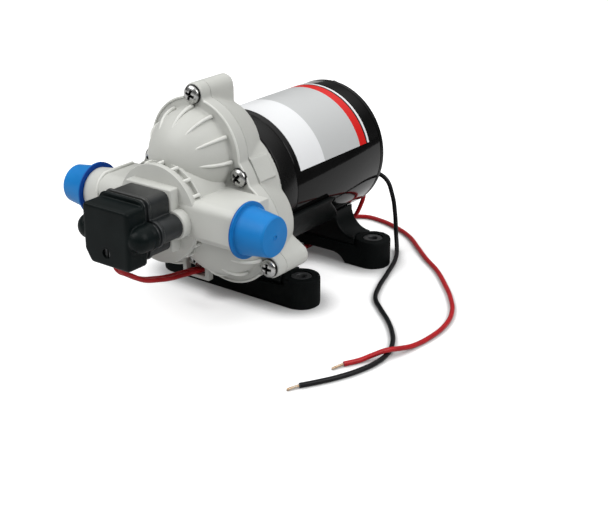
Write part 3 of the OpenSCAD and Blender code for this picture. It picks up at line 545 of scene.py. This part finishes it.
can = turned("motor_tube", can_profile, (0, 0, axis_z), (0, 1, 0), 192)
soft_edges(can, width=0.5)
dress(can, "pump", "can_black", can_paint, "motor_can")
bell = turned("front_end_bell", bell_profile, (0, 0, axis_z), (0, 1, 0), 192)
soft_edges(bell, width=0.5)
dress(bell, "pump", "can_black", bell_paint, "front_bell")
rear = turned("rear_end_cap", rear_profile, (0, 0, axis_z), (0, 1, 0), 192)
lead_hole_r = 2.6
for x, z in ((24, 43), (11, 36)):
    cut(rear, rod(lead_hole_r, (x, 40, z), (x, 55, z), 48))
soft_edges(rear, width=0.6)
dress(rear, "pump", "can_black", bell_paint, "rear_cap")

# Rating label. A printed film wrapped over the top of the can, shown bare: a white band at the front, a
# pale grey field, a red band, and a thin black and a thin white line at the rear.
label_edge, label_film_h = 16, 0.2
label_front, label_rear = -24.7, 35
label = rod(motor_r + label_film_h, (0, label_rear, axis_z), (0, label_front, axis_z), 256)
label_low = axis_z + motor_r * math.sin(math.radians(label_edge))
cut(label, rod(motor_r, (0, 60, axis_z), (0, -60, axis_z), 256), block((-60, -60, -60), (60, 60, label_low)))
shade_by_angle(30)
label_grain = grain("label_film_grain", mottle=50.0, fine=900.0, depth=0.01 * mm)
label_film = surface("printed_label_film", label_grain, dark=(0.7, 0.7, 0.7), light=(0.75, 0.75, 0.75),
                     rough=(0.28, 0.38), specular=0.3)
tree = label_film.node_tree
bands = tree.nodes.new("ShaderNodeValToRGB")
bands.color_ramp.interpolation = "CONSTANT"
ramp_start, ramp_end = -30, 40
band_starts = (
    (label_front, (0.79, 0.80, 0.81)),
    (-4.7, (0.52, 0.53, 0.53)),
    (26.6, (0.64, 0.012, 0.010)),
    (32.2, (0.008, 0.008, 0.008)),
    (33.2, (0.78, 0.79, 0.80)),
)
for k, (y, colour) in enumerate(band_starts):
    element = bands.color_ramp.elements[k] if k < 2 else bands.color_ramp.elements.new(1.0)
    element.position = (y - ramp_start) / (ramp_end - ramp_start)
    element.color = (*colour, 1)
ramp_place = map_range(tree, along(tree, "Y"), (ramp_start * mm, ramp_end * mm), (0, 1))
tree.links.new(ramp_place, bands.inputs["Fac"])
tree.links.new(bands.outputs["Color"], tree.nodes["Principled BSDF"].inputs["Base Color"])
dress(label, "pump", "label_film", label_film, "rating_label")


# Drive housing. The grey moulding between the motor and the head: three lobes round a common middle, with
# a screw boss at each lobe's tip. It is hollow for the wobble plate and screwed to the front bell.
def around(reach, *angles):
    """Places (x, z) from the motor's axis, at one reach and several angles in degrees."""
    return [(reach * math.cos(math.radians(a)), reach * math.sin(math.radians(a))) for a in angles]


def taper(rear_r, front_r, place, rear_y, front_y, sides=160):
    """A round bar along Y with a radius for its rear end and one for its front end."""
    middle = Vector((place[0], (rear_y + front_y) / 2, axis_z + place[1])) * mm
    bpy.ops.object.select_all(action="DESELECT")
    bpy.ops.mesh.primitive_cone_add(vertices=sides, radius1=rear_r * mm, radius2=front_r * mm,
                                    depth=(rear_y - front_y) * mm, location=middle,
                                    rotation=(math.pi / 2, 0, 0))
    bpy.ops.object.transform_apply(location=True, rotation=True, scale=True)
    return bpy.context.object


def trefoil(rear_y, front_y, narrower):
    """Three lobes that may widen towards the front, the middle, and a screw boss at each lobe's tip."""
    parts = [taper(middle_r - narrower / 5, middle_r, (0, 0), rear_y, front_y)]
    for a, lobe, tip in zip(lobe_angles, lobe_places, tip_places):
        parts.append(taper(lobe_r - narrower, lobe_r, lobe, rear_y, front_y))
        parts.append(taper(tip_r, tip_r, tip, rear_y, front_y, 64))
        neck = block((neck_in, front_y, -tip_r), (tip_reach, rear_y, tip_r))
        parts.append(placed(neck, (0, -a, 0), (0, 0, axis_z)))
    return parts


bell_y, part_y, flange_y = -40.0, -57.0, -63.5
seam, past_part = 0.1, -58.6
middle_r, lobe_r, tip_r = 35.5, 27.3, 5.4
neck_in, tip_reach = 36, 51.2
boss_in, boss_out, boss_half, boss_rear = 30.2, 36.2, 6, -44
cave_rear, cave_front, cave_r = -43.5, -57.4, 24.3
lobe_angles, valley_angles = (90, 210, 330), (30, 150, 270)
lobe_places = around(22.6, *lobe_angles)
tip_places = around(tip_reach, *lobe_angles)
valley_places = around(31.2, *valley_angles)
housing_grain = grain("housing_grain", mottle=28.0, fine=1300.0, depth=0.04 * mm)
housing_grey = surface("grey_housing_plastic", housing_grain,
                       dark=(0.505, 0.510, 0.480), light=(0.550, 0.555, 0.522),
                       rough=(0.38, 0.50), specular=0.3)
parts = trefoil(bell_y, part_y + seam, narrower=5.8) + trefoil(-56.4, past_part, narrower=0)
for a in valley_angles:
    boss = block((boss_in, past_part, -boss_half), (boss_out, boss_rear, boss_half))
    parts.append(placed(boss, (0, -a, 0), (0, 0, axis_z)))
drive = moulded("drive_housing_shell", parts, grid=0.6, passes=4)
cave = [taper(18.5, cave_r, lobe, cave_rear, cave_front) for lobe in lobe_places]
cave.append(taper(18, 19, (0, 0), cave_rear, cave_front))
shaft_hole_r = 5.5
cave.append(taper(shaft_hole_r, shaft_hole_r, (0, 0), -38, -46))
before = block((-90, -70, -20), (90, part_y + seam, 140))
cut(drive, before, moulded("drive_cave", cave, grid=0.8, passes=2))
shade_by_angle(50)
dress(drive, "pump", "housing_grey", housing_grey, "drive_housing")


# Front head. The grey moulding with three ribbed domes, a drum in the middle and a square port block on
# each side that ends in a round collar and a pipe thread. Its flange and hollow domes come first.
def ball(radius, centre):
    """A ball round a point in millimetres."""
    bpy.ops.object.select_all(action="DESELECT")
    bpy.ops.mesh.primitive_uv_sphere_add(segments=96, ring_count=64, radius=radius * mm,
                                         location=Vector(centre) * mm)
    bpy.ops.object.transform_apply(location=True, rotation=True, scale=True)
    return bpy.context.object


dome_r, dome_wall = 22.2, 2.3
chamber_r, chamber_y, hub_r = 19.8, -68.8, 15
behind_part = -55.4
parts = trefoil(behind_part, flange_y, narrower=0)
for x, z in lobe_places:
    dome = ball(dome_r, (x, flange_y, axis_z + z))
    cut(dome, block((-80, -61, -30), (80, 0, 150)))
    parts.append(dome)
head = moulded("front_head_shell", parts, grid=0.6, passes=4)
chambers = [taper(hub_r, hub_r, (0, 0), -55, chamber_y)]
for x, z in lobe_places:
    chambers.append(taper(cave_r, cave_r, (x, z), -55, -61.5))
    chambers.append(taper(chamber_r, chamber_r, (x, z), -60, chamber_y))
    chambers.append(ball(dome_r - dome_wall, (x, flange_y, axis_z + z)))
behind = block((-90, part_y - seam, -20), (90, -40, 140))
cut(head, behind, moulded("head_chambers", chambers, grid=0.8, passes=2))

# Drum of the front head. A turned shape with a groove between its ring and its front disc, and small round
# bridges across the groove.
drum_r, drum_neck_r = 24, 23.4
drum_rear, disc_y = -66, -91.6
groove, groove_r = (-85.3, -88.5), 21.6
drum_profile = [(0, drum_rear), (drum_neck_r, drum_rear), (drum_neck_r, -83), (drum_r, -83.3),
                (drum_r, groove[0]), (groove_r, groove[0]), (groove_r, groove[1]), (drum_r, groove[1]),
                (drum_r, disc_y), (0, disc_y)]
drum = turned("drum", drum_profile, (0, 0, axis_z), (0, 1, 0), 160)
soft_edges(drum, width=0.45, angle=20)
bridge_r, bridge_in = 0.9, 0.8
bridge = rod(bridge_r, (0, groove[0] + bridge_in, 0), (0, groove[1] - bridge_in, 0), 24)
soft_edges(bridge, width=0.5)
bridges = []
for x, z in around(drum_r - 0.2, *range(30, 151, 20), *range(210, 331, 20)):
    bridges.append(copied("drum_bridge", bridge, (x, 0, axis_z + z)))
bpy.data.objects.remove(bridge, do_unlink=True)


# Ports of the front head. A block on each side with its top edge rounded and its lower edge cut off, a
# bore, a round collar and a half inch pipe thread. A round lip stands on the left block's end.
def edge_cut(piece, y, z, size, tilt):
    """Takes one long edge along X off a piece."""
    cut(piece, placed(block((-60, -size, -size), (60, size, size)), (tilt, 0, 0), (0, y, axis_z + z)))


def slice_x(a, b):
    """A slice of space between two places along X, in either order, to cut with."""
    return block((min(a, b), -120, -20), (max(a, b), -40, 120))


port_y, bore_r = -82.5, 7
port_low = -9.5
port_in, port_rear = 12, -66
thread_start, thread_end, pitch = 46.4, 52.5, 1.814
root_r = 9.35
other_side = (0, 2 * port_y, 0), (0, 0, 180)
fittings = [drum]
for side, front_y, top_z, round_r, end_x, collar_r in (
    (1, -92.2, 10.5, 4.4, 46.5, 9.6),
    (-1, -93.4, 11.2, 8.0, 38.0, 12.0),
):
    port = block((-90, front_y, axis_z - 40), (90, -50, axis_z + top_z))
    apply_modifier(port, "BEVEL", width=round_r * mm, segments=12, limit_method="ANGLE")
    cut(port, slice_x(-100 * side, port_in * side), slice_x(end_x * side, 100 * side),
        block((-100, port_rear, -20), (100, -40, 120)),
        block((-100, -120, -20), (100, -40, axis_z + port_low)))
    edge_cut(port, front_y, port_low, size=2.6, tilt=45)
    soft_edges(port, width=0.5, angle=40)
    bore = (20 * side, port_y, axis_z), (60 * side, port_y, axis_z)
    cut(port, rod(bore_r, *bore))
    shade_by_angle(40)
    cut(head, rod(bore_r, *bore))
    shade_by_angle(50)
    collar_profile = [(bore_r, 36), (collar_r, 36), (collar_r, 38), (min(collar_r, 11.0), 46.6),
                      (bore_r, 46.6), (bore_r, 36)]
    collar = turned("port_collar", collar_profile, (0, port_y, axis_z), (side, 0, 0))
    soft_edges(collar, width=0.3)
    fittings += [port, collar]
thread_profile = [(bore_r, thread_start), (9.9, thread_start)]
for k in range(3):
    root = thread_start + 0.5 + pitch * k
    crest_r = 10.47 - 0.06 * k
    thread_profile += [(root_r, root), (crest_r, root + 0.75), (crest_r, root + 1.0), (root_r, root + 1.75)]
thread_profile += [(9.3, thread_end), (bore_r, thread_end), (bore_r, thread_start)]
thread = turned("port_thread", thread_profile, (0, port_y, axis_z), (1, 0, 0))
shade_by_angle(25)
fittings += [thread, copied("port_thread", thread, *other_side)]
lip_x, lip_r = -37.2, 0.85
lip_places = [(-93.2, 2), (-92.8, 5.2), (-90.9, 8.8), (-88, 10.9), (-84.5, 11.5), (-68, 11.6)]
lip_points = [(lip_x, y, axis_z + z) for y, z in lip_places]
lip = as_mesh(wire("port_lip", [smooth_route(lip_points, 6)], lip_r * mm))

# Switch pad and lead loop of the front head. The pad stands on the drum with a round lug on each side for
# the switch screws; the thin loop under the flange guides the leads.
pad_y = -97
lug_x, lug_z = 15.2, axis_z - 0.7
pad = block((-14, pad_y, axis_z - 14.6), (14, -90, axis_z + 15.9))
soft_edges(pad, width=0.8, segments=4)
fittings.append(pad)
lug = rod(6.9, (-lug_x, -90, lug_z), (-lug_x, pad_y, lug_z))
soft_edges(lug, width=0.8, segments=4)
fittings += [lug, copied("pad_lug", lug, (2 * lug_x, 0, 0))]
guide = block((-8.4, -66.2, 15.4), (8.4, -62.6, 26.4))
cut(guide, block((-5.8, -70, 17.3), (5.8, -60, 40)))
soft_edges(guide, width=0.5)
head_parts = [head, guide] + fittings
dress(join("front_head_moulding", head_parts), "pump", "housing_grey", housing_grey, "front_head")

# Bead, ribs, lip and bridges of the front head. A thin bead follows the flange's front edge and the ribs
# sink into the domes; these fine edges get a lighter grey than the rest, a painted highlight.
bead_r, bead_y = 0.6, flange_y - 0.05
lobe_edge, middle_edge = lobe_r - 0.35, middle_r - 0.35
bead_routes = []
for a, here, there in zip(lobe_angles, lobe_places, lobe_places[1:] + lobe_places[:1]):
    edge = [(here[0] + x, here[1] + z) for x, z in around(lobe_edge, *range(a + 12, a + 90, 3))]
    edge += around(middle_edge, *range(a + 50, a + 71, 2))
    edge += [(there[0] + x, there[1] + z) for x, z in around(lobe_edge, *range(a + 31, a + 107, 3))]
    bead_routes.append([Vector((x, bead_y, axis_z + z)) * mm for x, z in edge])
bead = as_mesh(wire("flange_bead", bead_routes, bead_r * mm))
rib_r, rib_thins, rib_steps = 1.0, 0.35, 12
rib_start, rib_climb = 2, 46
rib_proud, rib_sink = 0.8, 1.8
rib_routes = []
for (x, z), angles in zip(lobe_places, (range(0, 181, 30), (210, 240, 270), (270, 300, 330))):
    for out_x, out_z in around(1, *angles):
        route = []
        for k in range(rib_steps + 1):
            rise = math.radians(rib_start + rib_climb * k / rib_steps)
            reach = dome_r + rib_proud - rib_sink * (k / rib_steps) ** 2
            level = reach * math.cos(rise)
            spot = (x + out_x * level, flange_y - reach * math.sin(rise), axis_z + z + out_z * level)
            route.append(Vector(spot) * mm)
        rib_routes.append(route)
ribs = wire("dome_ribs", rib_routes, rib_r * mm)
for spline in ribs.data.splines:
    for k, point in enumerate(spline.points):
        point.radius = 1.0 - rib_thins * k / rib_steps
# The lighter grey of these edges is a painted highlight.
edge_highlight_grey = surface("grey_edges_painted_highlight", housing_grain,
                    dark=(0.640, 0.645, 0.610), light=(0.700, 0.705, 0.668),
                    rough=(0.30, 0.42), specular=0.4)
edge_parts = [as_mesh(ribs), bead, lip] + bridges
dress(join("front_head_edges", edge_parts), "pump", "housing_grey", edge_highlight_grey)


# Head screws. Six plated pan head screws with a cross recess clamp the head and the drive housing
# together, one at each lobe's tip and one in each valley. One is modelled and copied to each place with a
# turn of its own; the recess and the rim are painted dark, as shade.
def tint(material, coordinate, span, amount, colour):
    """Mixes a colour into a material by an amount that changes over a span of one coordinate."""
    tree = material.node_tree
    mix = tree.nodes.new("ShaderNodeMix")
    mix.data_type = "RGBA"
    mix.inputs["B"].default_value = (*colour, 1)
    shader = tree.nodes["Principled BSDF"]
    plain = shader.inputs["Base Color"].links[0].from_socket
    tree.links.new(map_range(tree, coordinate, span, amount), mix.inputs["Factor"])
    tree.links.new(plain, mix.inputs["A"])
    tree.links.new(mix.outputs["Result"], shader.inputs["Base Color"])


screw_profile = [(0, 45.5), (1.3, 45.5), (1.3, 63.4), (4.7, 63.4), (4.7, 64.2), (4.2, 65.2), (3.2, 65.85),
                 (1.8, 66.2), (0, 66.3)]
slot_reach, slot_half, slot_floor = 2.7, 0.72, -63.6
first_turn, next_turn = 20, 37
screw = turned("head_screw", screw_profile, (0, 0, 0), (0, -1, 0), 64)
for turn in (first_turn, first_turn + 90):
    slot = block((-slot_reach, -68, -slot_half), (slot_reach, slot_floor, slot_half))
    cut(screw, placed(slot, (0, turn, 0), (0, 0, 0)))
soft_edges(screw, width=0.15, segments=2)
screws = []
for k, (x, z) in enumerate(tip_places + valley_places):
    screws.append(copied("head_screw", screw, (x, 0, axis_z + z), (0, next_turn * k, 0)))
bpy.data.objects.remove(screw, do_unlink=True)
screw_steel = surface("plated_screw_steel", steel_grain, dark=(0.44, 0.44, 0.43), light=(0.58, 0.58, 0.57),
                      rough=(0.20, 0.32), metal=1.0)
# The dark mix is painted shade in the cross recess and round the rim against the housing.
recess_shade_span, recess_shade = (-65.0 * mm, -64.5 * mm), (0.025, 0.025, 0.024)
tint(screw_steel, along(screw_steel.node_tree, "Y"), recess_shade_span, (0, 1), recess_shade)
dress(join("head_screw_set", screws), "pump", "steel", screw_steel, "head_screws")


# Pressure switch body. A black moulded box on the pad, with a lug on each side for the screws that hold it
# and a rim at the seam. Its top is painted lighter, as light falling from above.
def rounded_slab(low, high, radius):
    """A block whose four edges along Y are rounded."""
    made = block((low[0], low[1] - 30, low[2]), (high[0], high[1] + 30, high[2]))
    apply_modifier(made, "BEVEL", width=radius * mm, segments=8, limit_method="ANGLE")
    cut(made, block((-60, low[1] - 60, -60), (60, low[1], 160)),
        block((-60, high[1], -60), (60, high[1] + 60, 160)))
    return made


switch_grain = grain("switch_grain", mottle=55.0, fine=1500.0, depth=0.05 * mm)
# The body's black is painted lighter than the cover's, as light on its sides.
body_black = surface("black_body_plastic", switch_grain,
                     dark=(0.009, 0.011, 0.012), light=(0.015, 0.018, 0.019),
                     rough=(0.30, 0.42), specular=0.42)
# The lighter mix near the top is painted light from above.
top_light_span, painted_top_light = ((axis_z + 13.6) * mm, (axis_z + 14.9) * mm), (0.026, 0.027, 0.026)
tint(body_black, along(body_black.node_tree, "Z"), top_light_span, (0, 1), painted_top_light)
body_front, rim_rear, rim_front, neck_rear, neck_front = -111, -109.4, -111.2, -108, -113.4
body_slab = rounded_slab((-13.1, body_front, axis_z - 13.7), (13.1, pad_y, axis_z + 15), radius=3.8)
body_rim = rounded_slab((-13.9, rim_front, axis_z - 14.2), (13.9, rim_rear, axis_z + 15.8), radius=4.2)
soft_edges(body_rim, width=0.6, angle=60)
neck = rounded_slab((-12.3, neck_front, axis_z - 12.9), (12.3, neck_rear, axis_z + 14.2), radius=3.4)
body_parts = [body_slab, body_rim, neck]
for x in (-lug_x, lug_x):
    for radius, rear_y, front_y in (
        (5.9, pad_y, body_front),
        (6.5, rim_rear, rim_front),
        (5.2, neck_rear, neck_front),
    ):
        body_parts.append(rod(radius, (x, rear_y, lug_z), (x, front_y, lug_z)))
switch_body = moulded("switch_body_shell", body_parts, grid=0.34, passes=3)
dress(switch_body, "pump", "switch_black", body_black, "switch_body")

# Pressure switch cover. A box over the body, its black painted darker than the body's as shade on its front,
# with one corner cut off, a rim at the seam and a domed boss over each screw. A small hole low on its face
# leads to the adjuster.
# The cover's deeper black is painted shade on its front.
cover_black = surface("black_cover_plastic", switch_grain,
                      dark=(0.002, 0.004, 0.004), light=(0.004, 0.007, 0.007),
                      rough=(0.32, 0.44), specular=0.10)
seam_y, boss_y, cover_y = -113, -119, -125.4
edge_rear, edge_front = -113.1, -114.9
boss_r, boss_rim_r = 6.2, 6.6
adjuster_z, adjuster_hole_r = 47.6, 2.4
cover_box = rounded_slab((-14, cover_y, axis_z - 15.5), (14, seam_y, axis_z + 13.2), radius=2.4)
corner = block((-10, -140, -10), (10, -100, 10))
cut(cover_box, placed(corner, (0, -31, 0), (-20.7, 0, axis_z - 17.7)))
soft_edges(cover_box, width=1.7, segments=5, angle=50)
cover_rim = rounded_slab((-13.9, edge_front, axis_z - 13.0), (13.9, edge_rear, axis_z + 15.6), radius=4.2)
soft_edges(cover_rim, width=0.6, angle=60)
cover_parts = [cover_box, cover_rim]
for x in (-lug_x, lug_x):
    cover_parts.append(rod(boss_r, (x, seam_y, lug_z), (x, boss_y, lug_z)))
    cover_parts.append(rod(boss_rim_r, (x, edge_rear, lug_z), (x, edge_front, lug_z)))
    cover_parts.append(ball(boss_r, (x, boss_y, lug_z)))
switch_cover = moulded("switch_cover_shell", cover_parts, grid=0.34, passes=3)
cut(switch_cover, rod(adjuster_hole_r, (0, -110, adjuster_z), (0, -130, adjuster_z), 48))
shade_by_angle(45)
dress(switch_cover, "pump", "switch_black", cover_black, "switch_cover")

# Transit caps. Thin tapered cups of soft blue plastic, pushed over the port threads for the journey, with a
# turned-out flange painted a deeper blue as shade, and a small ring mark on the end.
cap_grain = grain("cap_plastic_grain", mottle=45.0, fine=700.0, depth=0.03 * mm)
cap_blue = surface("blue_cap_plastic", cap_grain, dark=(0.008, 0.165, 0.470), light=(0.013, 0.195, 0.530),
                   rough=(0.32, 0.44), specular=0.12)
shader = cap_blue.node_tree.nodes["Principled BSDF"]
shader.inputs["Subsurface Weight"].default_value = 0.12
shader.inputs["Subsurface Radius"].default_value = (0.002, 0.004, 0.006)
outward = reckon(cap_blue.node_tree, "ABSOLUTE", along(cap_blue.node_tree, "X"))
# The flange is painted a deeper blue, as shade on it next to the pump.
flange_shade_span, flange_shade_blue = (46.7 * mm, 47.7 * mm), (0.001, 0.045, 0.27)
tint(cap_blue, outward, flange_shade_span, (1, 0), flange_shade_blue)
cap_profile = [(0, 61.4), (8.4, 61.4), (8.75, 61.0), (10.8, 46.65), (13.4, 46.65), (13.4, 47.8),
               (11.5, 47.8), (11.35, 48.0), (9.5, 61.8), (8.9, 62.6), (1.5, 62.6), (1.35, 62.95),
               (0.95, 62.95), (0.8, 62.5), (0, 62.5)]
outlet_cup = turned("outlet_transit_cup", cap_profile, (0, port_y, axis_z), (1, 0, 0), 160)
soft_edges(outlet_cup, width=0.3, angle=20)
inlet_cup = copied("inlet_transit_cup", outlet_cup, *other_side)
dress(outlet_cup, "outlet_transit_cap", "cap_blue", cap_blue, "outlet_cap")
dress(inlet_cup, "inlet_transit_cap", "cap_blue", cap_blue, "inlet_cap")

# Inner works and small hardware. The CAD solids keep their exact shape here and get a finish each: steel,
# iron, copper, carbon, card, nylon, alloy and seal rubber. The adjuster screw shares the eyelets' dark
# steel, painted shade in its hole.
bright_steel = surface("bright_plated_steel", steel_grain, dark=(0.52, 0.52, 0.51), light=(0.66, 0.66, 0.65),
                       rough=(0.20, 0.34), metal=1.0)
seal_rubber = surface("black_seal_rubber", rubber_grain,
                      dark=(0.008, 0.008, 0.009), light=(0.016, 0.016, 0.017),
                      rough=(0.5, 0.65))
iron_grain = grain("iron_grain", mottle=120.0, fine=1600.0, depth=0.03 * mm)
dark_iron = surface("dark_iron", iron_grain, dark=(0.06, 0.06, 0.062), light=(0.10, 0.10, 0.105),
                    rough=(0.45, 0.6), metal=0.6)
copper_metal = surface("copper_metal", strand_grain, dark=(0.55, 0.25, 0.10), light=(0.66, 0.34, 0.16),
                       rough=(0.28, 0.42), metal=1.0)
carbon = surface("brush_carbon", iron_grain, dark=(0.02, 0.02, 0.02), light=(0.035, 0.035, 0.036),
                 rough=(0.5, 0.7))
card_grain = grain("card_grain", mottle=90.0, fine=1200.0, depth=0.03 * mm)
brown_card = surface("brown_card", card_grain, dark=(0.22, 0.12, 0.06), light=(0.30, 0.18, 0.09),
                     rough=(0.5, 0.65))
nylon = surface("natural_nylon", housing_grain, dark=(0.66, 0.65, 0.58), light=(0.74, 0.73, 0.66),
                rough=(0.35, 0.5))
alloy = surface("die_cast_alloy", iron_grain, dark=(0.46, 0.47, 0.48), light=(0.58, 0.59, 0.60),
                rough=(0.35, 0.5), metal=1.0)
case_plastic = surface("dark_case_plastic", switch_grain,
                       dark=(0.03, 0.04, 0.045), light=(0.045, 0.055, 0.06),
                       rough=(0.35, 0.5))
finishes = {
    "steel": bright_steel,
    "iron": dark_iron,
    "copper": copper_metal,
    "carbon": carbon,
    "card": brown_card,
    "seal_rubber": seal_rubber,
    "nylon": nylon,
    "alloy": alloy,
    "switch_case": case_plastic,
}
slots = {part["node"]: part["material_slot"] for part in frame["record"]["subparts"]}
for node_name, node in frame["nodes"].items():
    finish = recess_shade_steel if node_name == "adjuster_screw" else finishes.get(slots[node_name])
    if finish:
        node.data.materials.clear()
        node.data.materials.append(finish)
